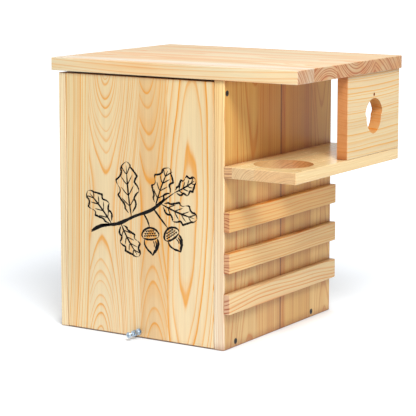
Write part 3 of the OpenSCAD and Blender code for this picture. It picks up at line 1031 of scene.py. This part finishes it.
@dataclass
class ThreadedScrews:
    """The wood screws and the lock screw with real threads: one geometry tree makes all from their sizes."""

    wood: ThreadSizes = ThreadSizes(
        head_profile=((4.4, -0.65), (4.35, -0.4), (1.75, 2.0)), recess_reach=2.5, recess_depth=1.25,
        length=40.0, core_radius=1.25, thread_height=0.5, pitch=1.8, plain=2.5, point=6.0, point_share=0.1)
    wood_lengths: tuple[tuple[str, float], ...] = (
        ("pivot_screw_right", 45.0), ("pivot_screw_left", 45.0), ("floor_screws", 40.0),
        ("back_screws", 40.0), ("tray_screws", 40.0), ("end_panel_screws", 40.0), ("slat_screws", 23.0),
    )
    lock: ThreadSizes = ThreadSizes(
        head_profile=((3.6, -3.0), (4.5, -2.1), (4.5, 0.0)), recess_reach=3.0, recess_depth=1.3, length=40.0,
        core_radius=2.0, thread_height=0.45, pitch=0.8, plain=0.4, point=0.9, point_share=0.7)
    segments_round: int = 24
    segments_per_turn: int = 7
    crest_half: float = 0.05
    root_half: float = 0.36
    nut_bore: float = 2.05
    nut_countersink: float = 2.6
    nut_countersink_depth: float = 0.5
    nut_bevel: float = 0.6
    nut_face: float = 0.97

    def thread_tree(self) -> NodeTree:
        """Build the geometry tree that threads a shaft, adds the head and sets it at each point.

        Returns:
            The tree.
        """
        tree = bpy.data.node_groups.new("threaded_screws", "GeometryNodeTree")
        sizes = ("Length", "Core Radius", "Thread Height", "Pitch", "Plain Length", "Point Length",
                 "Point Share")
        for name, kind in (("Places", "Geometry"), ("Head", "Object"), *((size, "Float") for size in sizes),
                           ("Rows", "Int"), ("Finish", "Material")):
            tree.interface.new_socket(name, in_out="INPUT", socket_type=f"NodeSocket{kind}")
        tree.interface.new_socket("Screws", in_out="OUTPUT", socket_type="NodeSocketGeometry")
        given = add_node(tree, "NodeGroupInput").outputs

        shaft = add_node(tree, "GeometryNodeMeshCylinder",
                         {"Vertices": self.segments_round, "Side Segments": given["Rows"],
                          "Radius": given["Core Radius"], "Depth": given["Length"]})
        half = add_node(tree, MATH, {0: given["Length"], 1: 0.5}, operation="MULTIPLY")
        lift = add_node(tree, "ShaderNodeCombineXYZ", {2: half})
        raised = add_node(tree, "GeometryNodeTransform", {"Geometry": shaft, "Translation": lift})

        # How far the helix has come round at each corner of the shaft, and how near the thread's crest is
        place = add_node(tree, "GeometryNodeInputPosition")
        parts = add_node(tree, "ShaderNodeSeparateXYZ", {0: place})
        angle = add_node(tree, MATH, {0: parts.outputs[1], 1: parts.outputs[0]}, operation="ARCTAN2")
        turn = add_node(tree, MATH, {0: angle, 1: math.tau}, operation="DIVIDE")
        rise = add_node(tree, MATH, {0: parts.outputs[2], 1: given["Pitch"]}, operation="DIVIDE")
        helix = add_node(tree, MATH, {0: rise, 1: turn}, operation="SUBTRACT")
        phase = add_node(tree, MATH, {0: helix}, operation="FRACT")
        centred = add_node(tree, MATH, {0: phase, 1: 0.5}, operation="SUBTRACT")
        away = add_node(tree, MATH, {0: centred}, operation="ABSOLUTE")
        run_in_end = add_node(tree, MATH, {0: given["Plain Length"], 1: given["Pitch"]}, operation="ADD")
        point_start = add_node(tree, MATH, {0: given["Length"], 1: given["Point Length"]},
                               operation="SUBTRACT")
        shares = []
        for value, start, end, at_start, at_end in (
            (away, self.crest_half, self.root_half, 1.0, 0.0),
            (parts.outputs[2], given["Plain Length"], run_in_end, 0.0, 1.0),
            (parts.outputs[2], point_start, given["Length"], 1.0, given["Point Share"]),
        ):
            shares.append(add_node(tree, MAP_RANGE, {"Value": value, "From Min": start, "From Max": end,
                                                     "To Min": at_start, "To Max": at_end}))
        ridge, run_in, taper = shares

        cut = add_node(tree, MATH, {0: ridge, 1: run_in}, operation="MULTIPLY")
        outer = add_node(tree, MATH, {0: cut, 1: given["Thread Height"], 2: given["Core Radius"]},
                         operation="MULTIPLY_ADD")
        tapered = add_node(tree, MATH, {0: outer, 1: taper}, operation="MULTIPLY")
        growth = add_node(tree, MATH, {0: tapered, 1: given["Core Radius"]}, operation="DIVIDE")
        spread = add_node(tree, "ShaderNodeCombineXYZ", {0: growth, 1: growth, 2: 1.0})
        moved = add_node(tree, VECTOR_MATH, {0: place, 1: spread}, operation="MULTIPLY")
        threaded = add_node(tree, "GeometryNodeSetPosition", {"Geometry": raised, "Position": moved})

        head = add_node(tree, "GeometryNodeObjectInfo", {"Object": given["Head"]})
        whole = add_node(tree, "GeometryNodeJoinGeometry")
        for part in (threaded.outputs[0], head.outputs["Geometry"]):
            tree.links.new(part, whole.inputs[0])
        heading = add_node(tree, "GeometryNodeInputNamedAttribute", {"Name": "heading"},
                           data_type="FLOAT_VECTOR")
        turned = add_node(tree, "FunctionNodeAlignRotationToVector", {"Vector": heading}, axis="Z")
        instances = add_node(tree, "GeometryNodeInstanceOnPoints",
                             {"Points": given["Places"], "Instance": whole, "Rotation": turned})
        real = add_node(tree, "GeometryNodeRealizeInstances", {0: instances})
        finished = add_node(tree, "GeometryNodeSetMaterial", {"Geometry": real, "Material": given["Finish"]})
        add_node(tree, "NodeGroupOutput", {0: finished})
        return tree

    def head(self, sizes: ThreadSizes) -> Object:
        """Make a head with its crossed recess.

        Args:
            sizes: The screw's sizes.

        Returns:
            The head, with its shaft's start at the origin.
        """
        profile = [(radius * MM, height * MM) for radius, height in sizes.head_profile]
        made = turned_form("screw_head", profile)
        reach = sizes.recess_reach * MM
        half = sizes.recess_width / 2 * MM
        arm = [(reach, -half), (reach, half), (half, half)]
        cross = list(arm)
        for _ in range(3):
            arm = [(-y, x) for x, y in arm]
            cross += arm
        top = sizes.head_profile[0][1]
        above = 1.0
        points = [(x * share, y * share, height * MM) for share, height in (
            (1.0, top - above), (sizes.recess_narrowing, top + sizes.recess_depth)) for x, y in cross]
        cut_with(made, mesh_object("recess_cutter", points, tube_faces(0, 2, len(cross))), Cut.OUTSIDE)
        return made

    def set_screws(self, name: str, tree: NodeTree, sizes: ThreadSizes, seats: list[Seat],
                   finish: Material) -> Object:
        """Set one kind of screw at its places.

        Args:
            name: The piece's name.
            tree: The geometry tree.
            sizes: The screw's sizes.
            seats: Place under each head and the direction in which its point lies.
            finish: The screws' finish.

        Returns:
            The piece, as a plain mesh.
        """
        places = bpy.data.meshes.new("screw_places")
        places.from_pydata([place for place, _ in seats], [], [])
        heading = places.attributes.new("heading", "FLOAT_VECTOR", "POINT")
        heading.data.foreach_set("vector", [value for _, direction in seats for value in direction])
        holder = place_object("screw_places", places)
        head = self.head(sizes)
        values = {
            "Head": head, "Length": sizes.length * MM, "Core Radius": sizes.core_radius * MM,
            "Thread Height": sizes.thread_height * MM, "Pitch": sizes.pitch * MM,
            "Plain Length": sizes.plain * MM, "Point Length": sizes.point * MM,
            "Point Share": sizes.point_share, "Finish": finish,
            "Rows": round((sizes.length - sizes.plain) / sizes.pitch * self.segments_per_turn),
        }
        maker = holder.modifiers.new("screws", "NODES")
        maker.node_group = tree
        for item in tree.interface.items_tree:
            if item.in_out == "INPUT" and item.name in values:
                maker[item.identifier] = values[item.name]
        bpy.context.view_layer.update()
        mesh = plain_mesh(holder)
        mesh.name = name
        holder.modifiers.remove(maker)
        for spent in (holder, head):
            bpy.data.objects.remove(spent)
        return place_object(name, mesh)

    def seats_of(self, node: str) -> list[Seat]:
        """Find where a CAD node's screws sit and where they point, from the node's own loose pieces.

        Args:
            node: The CAD node with the screws.

        Returns:
            Place of each head's top and the direction of its point.
        """
        work = bmesh.new()
        work.from_mesh(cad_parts[node].data)
        bmesh.ops.remove_doubles(work, verts=work.verts, dist=1e-6)
        seen = set()
        seats = []
        for first in work.verts:
            if first in seen:
                continue
            screw = {first}
            edge = {first}
            while edge:
                edge = {link.other_vert(vert) for vert in edge for link in vert.link_edges} - screw
                screw |= edge
            seen |= screw
            low, high = (Vector([pick(vert.co[i] for vert in screw) for i in range(3)])
                         for pick in (min, max))
            middle = (low + high) / 2
            way = max(range(3), key=lambda i: high[i] - low[i])
            long_axis = Vector([float(i == way) for i in range(3)])
            rim = max(screw, key=lambda vert: (vert.co - middle).cross(long_axis).length)
            direction = long_axis if rim.co[way] < middle[way] else -long_axis
            seats.append((middle - direction * (high[way] - low[way]) / 2, direction))
        work.free()
        return seats

    def build(self) -> None:
        """Build the wood screws and the lock's parts."""
        tree = self.thread_tree()
        steel = BlackenedSteel().build()
        for node, length in self.wood_lengths:
            sizes = replace(self.wood, length=length)
            piece = self.set_screws(f"threaded_{node}", tree, sizes, self.seats_of(node), steel)
            stand_for(piece, node, "house")
        self.build_lock(tree)

    def build_lock(self, tree: NodeTree) -> None:
        """Build the lock screw and its nut, and dress the washer and the insert, which keep their CAD nodes.

        Args:
            tree: The geometry tree.
        """
        zinc = ZincPlate().build()
        low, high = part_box("lock_screw")
        middle = (low + high) / 2
        under_head = Vector((middle.x, low.y - self.lock.head_profile[0][1] * MM, middle.z))
        seats = [(under_head, Vector((0.0, 1.0, 0.0)))]
        screw = self.set_screws("threaded_lock_screw", tree, self.lock, seats, zinc)
        stand_for(screw, "lock_screw", "lock_bolt")
        stand_for(self.nut(zinc), "lock_nut", "lock_bolt")
        for node in ("lock_insert", "lock_washer"):
            dress_node(node, zinc)

    def nut(self, zinc: Material) -> Object:
        """Make the hexagon nut with its turned corners and its bore.

        Args:
            zinc: The nut's finish.

        Returns:
            The nut.
        """
        low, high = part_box("lock_nut")
        middle = (low + high) / 2
        thickness = high.y - low.y
        corner = (high.x - low.x) / 2
        flat = corner * math.cos(math.radians(30))
        clear = 1.01
        nut = turned_form("chamfered_lock_nut", [(corner, 0.0), (corner, thickness)], 6)
        for name, face, wide, depth, beyond, left, sides in (
            ("nut_barrel", flat * self.nut_face, corner * clear, (corner - flat) * self.nut_bevel, 0.0,
             Cut.INSIDE, 48),
            ("nut_drill", self.nut_countersink * MM, self.nut_bore * MM, self.nut_countersink_depth * MM,
             0.01 * MM, Cut.OUTSIDE, 32),
        ):
            profile = [(face, -beyond), (wide, depth), (wide, thickness - depth), (face, thickness + beyond)]
            cut_with(nut, turned_form(name, profile, sides), left)
        place = Matrix.Translation((middle.x, high.y, middle.z)) @ Matrix.Rotation(math.radians(90), 4, "X")
        nut.data.transform(place)
        nut.data.materials.append(zinc)
        return nut


def turned_line(foot: Pair, angle: float, line: list[Pair], size: float) -> list[Pair]:
    """Turn a line that is drawn along +X at size 1 and set it at its foot.

    Args:
        foot: Where the line starts, in millimetres.
        angle: Its direction in degrees, from straight across.
        line: The line's points.
        size: Length in millimetres of what is drawn at size 1.

    Returns:
        The line's points in millimetres.
    """
    turn = math.radians(angle)
    return [(foot[0] + size * (x * math.cos(turn) - y * math.sin(turn)),
             foot[1] + size * (x * math.sin(turn) + y * math.cos(turn))) for x, y in line]


@dataclass(frozen=True)
class OakLeaf:
    """A lobed oak leaf: its foot on the twig, the way its rib runs, and its sizes in millimetres."""

    foot: Pair
    angle: float
    length: float
    width: float
    curl: float
    stalk: float = 0.07
    belly: float = 1.25
    fullness: float = 0.75
    lobes: float = 3.5
    lobe_depth: float = 0.44
    lobe_roundness: float = 0.65
    lobe_stagger: float = 0.12
    lobe_lean: float = 0.035
    outline_steps: int = 46
    outline_stroke: float = 2.1
    rib_stroke: float = 1.7
    vein_stroke: float = 1.1
    veins: int = 4
    first_vein: float = 0.2
    vein_gap: float = 0.19
    vein_reach: float = 0.62
    vein_shortening: float = 0.06

    def outline(self, side: int) -> list[Pair]:
        """Draw one side of the leaf's outline.

        Args:
            side: 1 for the upper side, -1 for the lower one.

        Returns:
            The outline's points, at a leaf length of 1.
        """
        edge = []
        for step in range(self.outline_steps + 1):
            t = self.stalk + (1 - self.stalk) * step / self.outline_steps
            full = math.sin(math.pi * t**self.belly) ** self.fullness if t < 1 else 0.0
            wave = abs(math.sin(math.pi * (self.lobes * t + self.lobe_stagger * side)))
            lobed = 1 - self.lobe_depth + self.lobe_depth * wave**self.lobe_roundness
            half = self.width / self.length / 2 * full * lobed
            lean = self.lobe_lean * math.sin(2 * math.pi * self.lobes * t) * full
            edge.append((t + lean, side * half + self.curl * t * t))
        return edge

    def strokes(self) -> list[Stroke]:
        """Draw the leaf: two strokes for each side, one for its rib and eight for its veins.

        Returns:
            The line and width of each stroke.
        """
        drawn = []
        for side in (1, -1):
            edge = self.outline(side)
            lifted = self.outline_steps // 2 + side * 3
            for part in (edge[: lifted + 1], edge[lifted:]):
                drawn.append((part[::2] if len(part) % 2 else part[::2] + part[-1:], self.outline_stroke))
        curl = self.curl
        drawn.append(([(0.0, 0.0), (0.3, curl * 0.09), (0.6, curl * 0.36), (0.93, curl * 0.86)],
                      self.rib_stroke))
        for number in range(self.veins):
            start = self.first_vein + self.vein_gap * number
            share = self.vein_reach - self.vein_shortening * number
            for side in (1, -1):
                reach = side * self.width / self.length / 2 * share
                drawn.append(([(start, curl * start**2), (start + 0.07, reach * 0.45 + curl * start**2),
                               (start + 0.17, reach + curl * (start + 0.15) ** 2)], self.vein_stroke))
        return [(turned_line(self.foot, self.angle, line, self.length), width) for line, width in drawn]


@dataclass(frozen=True)
class Acorn:
    """An acorn in its scaly cup: the cup's top, the way its tip points, and its length in millimetres."""

    foot: Pair
    angle: float
    size: float
    scale_rows: tuple[tuple[int, float, float], ...] = ((4, 0.12, 0.2), (5, 0.21, 0.27), (6, 0.3, 0.3))
    scale_stroke: float = 1.2

    def strokes(self) -> list[Stroke]:
        """Draw the cup, its rim, the nut with two lines of shade, and the cup's rows of scales.

        Returns:
            The line and width of each stroke.
        """
        drawn = [
            ([(0.37, -0.35), (0.24, -0.385), (0.08, -0.25), (0.0, 0.0), (0.08, 0.25), (0.24, 0.385),
              (0.37, 0.35)], 2.3),
            ([(0.37, -0.36), (0.43, -0.18), (0.445, 0.0), (0.43, 0.18), (0.37, 0.36)], 2.0),
            ([(0.42, -0.3), (0.62, -0.31), (0.82, -0.2), (0.95, -0.07), (1.06, 0.0)], 2.1),
            ([(0.42, 0.3), (0.62, 0.315), (0.82, 0.21), (0.95, 0.07), (1.06, 0.0)], 2.9),
            ([(0.5, 0.2), (0.66, 0.22), (0.8, 0.14)], 1.5),
            ([(0.5, 0.1), (0.64, 0.13), (0.74, 0.1)], 1.1),
        ]
        for count, height, half in self.scale_rows:
            for number in range(count):
                across = -half + 2 * half * (number + 0.5) / count
                drawn.append(([(height - 0.03, across - 0.04), (height + 0.02, across),
                               (height - 0.03, across + 0.04)], self.scale_stroke))
        return [(turned_line(self.foot, self.angle, line, self.size), width) for line, width in drawn]


@dataclass
class OakSprig:
    """A sprig of oak printed on the door in loose black brush strokes. Lengths are in millimetres."""

    node: str = "front_door"
    body: str = "door"
    middle: Pair = (-57.0, 196.0)
    proud: float = 0.1
    sunk: float = 0.3
    boldness: float = 1.5
    thinnest: float = 0.15
    unevenness: float = 0.3
    restlessness: float = 0.5
    swell: Pair = (0.22, 0.55)
    fade: Pair = (0.3, 0.7)
    seed: int = 11
    twigs: tuple[tuple[tuple[Pair, ...], float], ...] = (
        (((-90, -42), (-66, -30), (-38, -24), (-8, -10), (22, 2), (44, 18), (64, 32)), 3.4),
        (((-90, -40), (-72, -30), (-52, -27)), 2.2),
        (((8, -4), (15, -14), (19, -24)), 2.0),
        (((26, 5), (40, -10), (52, -22)), 2.0),
    )
    growth: tuple[OakLeaf | Acorn, ...] = (
        OakLeaf((-50, -27), 128, 66, 36, 0.10), OakLeaf((-14, -12), 101, 84, 42, -0.08),
        OakLeaf((30, 9), 73, 64, 36, -0.10), OakLeaf((64, 32), 24, 44, 27, 0.12),
        OakLeaf((-34, -23), -64, 58, 33, 0.14), OakLeaf((40, 13), -22, 66, 34, 0.12),
        Acorn((19, -25), -82, 40), Acorn((53, -23), -56, 38),
    )

    def stroke(self, line: list[Pair], width: float, chance: random.Random, points: list[Triple],
               faces: list[Face]) -> None:
        """Add one brush stroke, full in the middle and thin at its ends.

        Args:
            line: Points that the brush passes through, across and up from the print's middle.
            width: Width of the stroke where it is full.
            chance: Source of the small unevenness.
            points: Corners of the print so far.
            faces: Faces of the print so far.
        """
        path = smooth_path(line)
        last = len(path) - 1
        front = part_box(self.node)[0].y - self.proud * MM
        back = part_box(self.node)[0].y + self.sunk * MM
        faces += tube_faces(len(points), len(path), 4)
        wobble = 1.0
        for number, (across, up) in enumerate(path):
            before = path[max(0, number - 1)]
            after = path[min(last, number + 1)]
            run = math.hypot(after[0] - before[0], after[1] - before[1]) or 1.0
            side = (-(after[1] - before[1]) / run, (after[0] - before[0]) / run)
            share = number / last
            full = min(1.0, (share / self.swell[0]) ** self.swell[1],
                       ((1 - share) / self.fade[0]) ** self.fade[1])
            aim = 1.0 + chance.uniform(-self.unevenness, self.unevenness)
            wobble += (aim - wobble) * self.restlessness
            half = max(self.thinnest, self.boldness * width / 2 * full * wobble)
            for sign, y in ((1, front), (1, back), (-1, back), (-1, front)):
                points.append(((self.middle[0] + across + side[0] * half * sign) * MM, y,
                               (self.middle[1] + up + side[1] * half * sign) * MM))

    def build(self) -> None:
        """Draw the sprig as one thin print and let it ride on the door."""
        chance = random.Random(self.seed)
        strokes = [*self.twigs, *(stroke for grown in self.growth for stroke in grown.strokes())]
        points, faces = [], []
        for line, width in strokes:
            self.stroke(line, width, chance, points, faces)
        piece = mesh_object("printed_oak_sprig", points, faces)
        piece.data.materials.append(ScreenInk().build())
        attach(piece, self.body)
        LOG.info("built %s from %d strokes", piece.name, len(strokes))


@dataclass
class Studio:
    """Camera, lamps, sky and floor. Lengths are in metres."""

    camera_place: Triple = (1.39243, -2.19467, 0.63153)
    camera_yaw: float = 32.918
    camera_pitch: float = -8.097
    lens: float = 146.80
    shift_up: float = -0.120
    aim: Triple = (0.0, 0.0, 0.2)
    lamp_distance: float = 3.0
    key_way: Triple = (0.50, -0.50, 0.75)
    key_level: float = 0.825
    key_size: float = 1.1
    fill_way: Triple = (0.80, -0.55, 0.10)
    fill_level: float = 0.14
    fill_size: float = 2.4
    sky_tone: str = "#ffffff"
    sky_level: float = 0.3
    floor_tone: str = "#e6eaef"
    floor_glow_tone: str = "#f9fcff"
    floor_reach: float = 20.0
    floor_height: float = -0.0003

    # Near the house and far from it: how bright the paper is made to look, and how much it glows, a painted
    # bounce light that lights the boards
    lift: Pair = (0.5, 1.0)
    lift_reach: Pair = (0.3, 2.5)
    glow: Pair = (0.3, 0.05)
    glow_reach: Pair = (0.25, 0.75)
    # How far the painted contact shadow under the house reaches, and over which openness it fades
    painted_contact_shade_reach: float = 0.06
    painted_contact_shade_open: Pair = (0.3, 0.9)

    def build(self) -> None:
        """Set up the studio."""
        self.place_camera()
        self.hang_lamp("key_lamp", self.key_way, self.key_level, self.key_size)
        self.hang_lamp("fill_lamp", self.fill_way, self.fill_level, self.fill_size)
        self.light_sky()
        self.lay_floor()
        bpy.context.scene.view_settings.view_transform = "Standard"

    def place_camera(self) -> None:
        """Put the camera where the photograph was taken from."""
        data = bpy.data.cameras.new("camera")
        data.sensor_width = 36.0
        data.lens = self.lens
        data.shift_y = self.shift_up
        data.clip_end = 100.0
        camera = place_object("camera", data)
        camera.location = self.camera_place
        camera.rotation_euler = Euler((math.radians(90 + self.camera_pitch), 0,
                                       math.radians(self.camera_yaw)))
        bpy.context.scene.camera = camera

    def hang_lamp(self, name: str, way: Triple, level: float, size: float) -> None:
        """Hang a square soft lamp that looks at the house.

        Args:
            name: The lamp's name.
            way: Direction from the house to the lamp.
            level: Light on a surface that faces the lamp, where 1 shows a colour as it is written.
            size: Side of the lamp in metres.
        """
        data = bpy.data.lights.new(name, "AREA")
        data.shape = "SQUARE"
        data.size = size
        data.energy = level * math.pi**2 * self.lamp_distance**2
        lamp = place_object(name, data)
        direction = Vector(way).normalized()
        lamp.location = Vector(self.aim) + direction * self.lamp_distance
        lamp.rotation_euler = direction.to_track_quat("Z", "Y").to_euler()

    def seen(self, tree: NodeTree) -> Node:
        """Tell rays that show the surroundings, to the camera or in gloss and glass, from those that light.

        Args:
            tree: The tree that gets the nodes.

        Returns:
            A node that gives 1 for a ray that shows and 0 for one that lights.
        """
        path = add_node(tree, "ShaderNodeLightPath")
        bright = add_node(tree, MATH, {0: path.outputs["Is Camera Ray"], 1: path.outputs["Is Glossy Ray"]},
                          operation="MAXIMUM")
        return add_node(tree, MATH, {0: bright, 1: path.outputs["Is Transmission Ray"]}, operation="MAXIMUM")

    def light_sky(self) -> None:
        """Give the world a plain white that the camera and reflections see at full strength."""
        world = bpy.data.worlds.new("studio_sky")
        world.use_nodes = True
        tree = world.node_tree
        tree.nodes.clear()
        strength = add_node(tree, MAP_RANGE, {"Value": self.seen(tree), "To Min": self.sky_level})
        background = add_node(tree, "ShaderNodeBackground",
                              {"Color": linear_colour(self.sky_tone), "Strength": strength})
        add_node(tree, "ShaderNodeOutputWorld", {"Surface": background})
        bpy.context.scene.world = world

    def lay_floor(self) -> None:
        """Lay a plain white floor of matt paper that keeps the house's soft shadow.

        The lamps reach only the floor near the house, so the paper is lifted more farther out. The paper
        close by also glows, a painted bounce light that throws extra light up onto the boards. Close under
        the house ambient occlusion fades the lift, a painted contact shadow.
        """
        mesh = bpy.data.meshes.new("studio_floor")
        corners = [(x * self.floor_reach, y * self.floor_reach, self.floor_height)
                   for x, y in ((-1, -1), (1, -1), (1, 1), (-1, 1))]
        mesh.from_pydata(corners, [], [(0, 1, 2, 3)])
        floor = place_object("studio_floor", mesh)
        material, tree, shader = new_material("white_paper_floor")
        coords = add_node(tree, "ShaderNodeTexCoord")
        distance = add_node(tree, VECTOR_MATH, {0: coords.outputs["Object"]}, operation="LENGTH")
        # Painted contact shadow: ambient occlusion fades the lift close under the house
        corner = add_node(tree, "ShaderNodeAmbientOcclusion", {"Distance": self.painted_contact_shade_reach}, samples=8)
        ranged = []
        for source, (start, end), (least, most) in (
            (distance.outputs["Value"], self.lift_reach, self.lift),
            (distance.outputs["Value"], self.glow_reach, self.glow),
            (corner.outputs["AO"], self.painted_contact_shade_open, (0.0, 1.0)),
        ):
            ranged.append(add_node(tree, MAP_RANGE, {"Value": source, "From Min": start, "From Max": end,
                                                     "To Min": least, "To Max": most}))
        lift, glow, painted_contact_shade = ranged
        strength = add_node(tree, MAP_RANGE, {"Value": self.seen(tree), "To Min": glow, "To Max": lift})
        lifted = add_node(tree, MATH, {0: strength, 1: painted_contact_shade}, operation="MULTIPLY")
        tree.links.new(lifted.outputs[0], shader.inputs["Emission Strength"])
        for socket, value in (("Base Color", linear_colour(self.floor_tone)), ("Roughness", 0.9),
                              ("Specular IOR Level", 0.0),
                              ("Emission Color", linear_colour(self.floor_glow_tone))):
            shader.inputs[socket].default_value = value
        mesh.materials.append(material)


def main() -> None:
    """Build and dress the house in order."""
    logging.basicConfig(level=logging.INFO, format="%(name)s: %(message)s")
    Studio().build()
    for boards in (Roof(), Walls(), Door(), Feeder(), Ladder(), Dowels()):
        boards.dress()
    ThreadedScrews().build()
    OakSprig().build()


if __name__ == "__main__":
    main()
